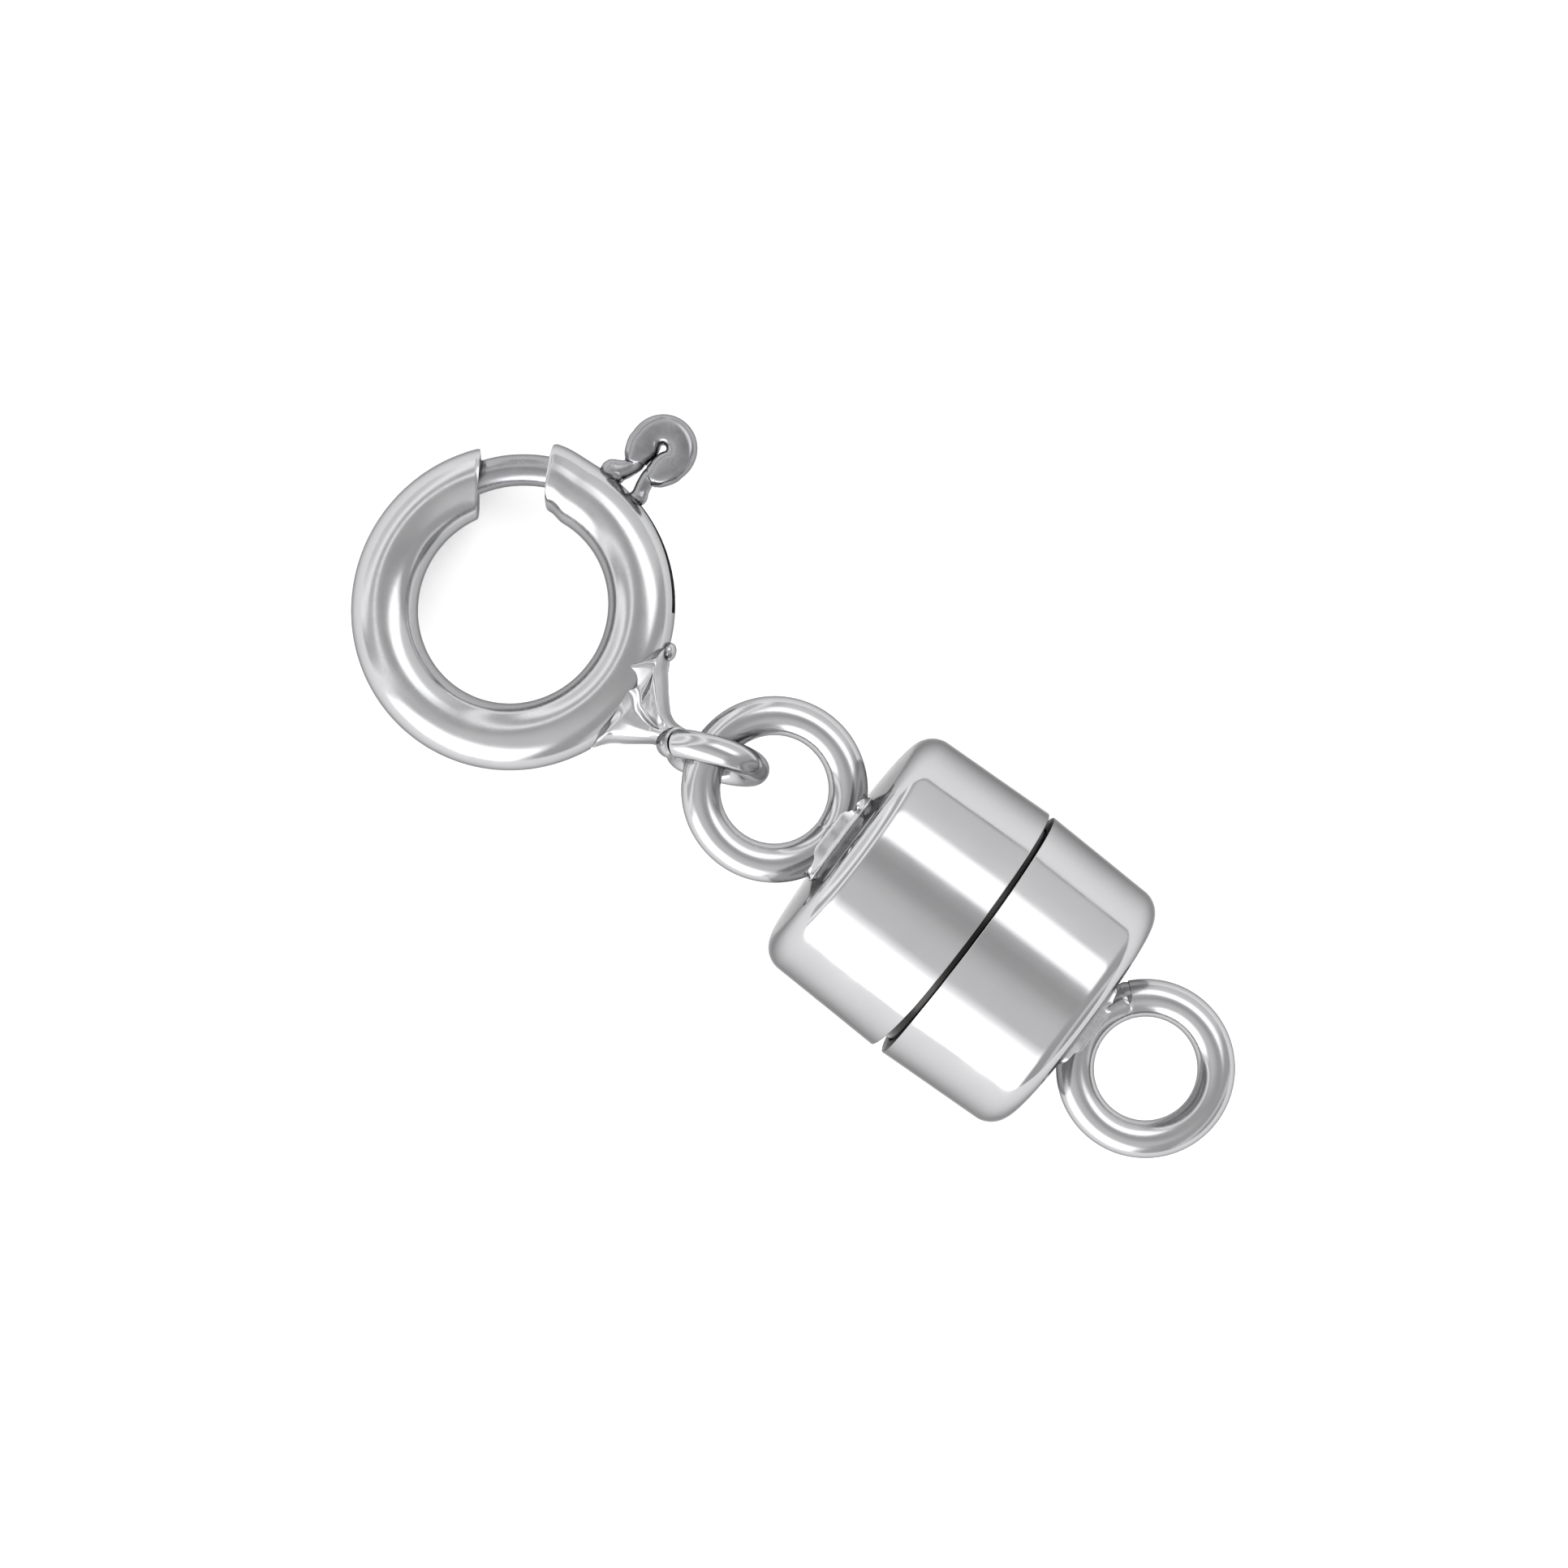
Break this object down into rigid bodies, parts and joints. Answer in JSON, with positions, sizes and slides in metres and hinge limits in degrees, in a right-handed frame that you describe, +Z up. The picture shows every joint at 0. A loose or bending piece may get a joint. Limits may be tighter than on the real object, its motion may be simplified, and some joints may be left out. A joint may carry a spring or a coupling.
{
  "type": "magnetic clasp",
  "caption": "Barrel clasp that parts in the middle and holds by magnets, with a soldered ring on each end and a spring ring linked through one of them.",
  "frame": {"origin": "on the surface that the clasp lies on, below the middle of its box", "axes": "+X along the barrel from the spring ring to the pull-off half's ring, +Y to the side that the trigger points to, +Z up"},
  "size_m": [0.0162, 0.0066, 0.0046],
  "materials": {
    "tube_gold": "rhodium-plated white gold tube, polished",
    "bolt_gold": "rhodium-plated white gold wire, polished",
    "cup_gold": "rhodium-plated white gold, drawn and polished",
    "magnet_plating": "nickel-plated sintered magnet, satin"
  },
  "bodies": {
    "clasp_body": {"spring_ring": "tube_gold", "inner_half": "cup_gold", "inner_magnet": "magnet_plating"},
    "pull_off_half": {"outer_half": "cup_gold", "outer_magnet": "magnet_plating"},
    "trigger_bolt": {"bolt": "bolt_gold", "trigger": "bolt_gold"}
  },
  "joints": [
    {"name": "halves_part", "type": "slide", "parent": "clasp_body", "child": "pull_off_half", "axis": [1, 0, 0], "range_m": [0, 0.006]},
    {"name": "bolt_draws_back", "type": "hinge", "parent": "clasp_body", "child": "trigger_bolt", "pos_m": [-0.00559, -0.00068, 0.00111], "axis": [0.2774, 0, -0.9607], "range_deg": [0, 39.6], "stiffness_Nm_per_rad": 0.002}
  ]
}
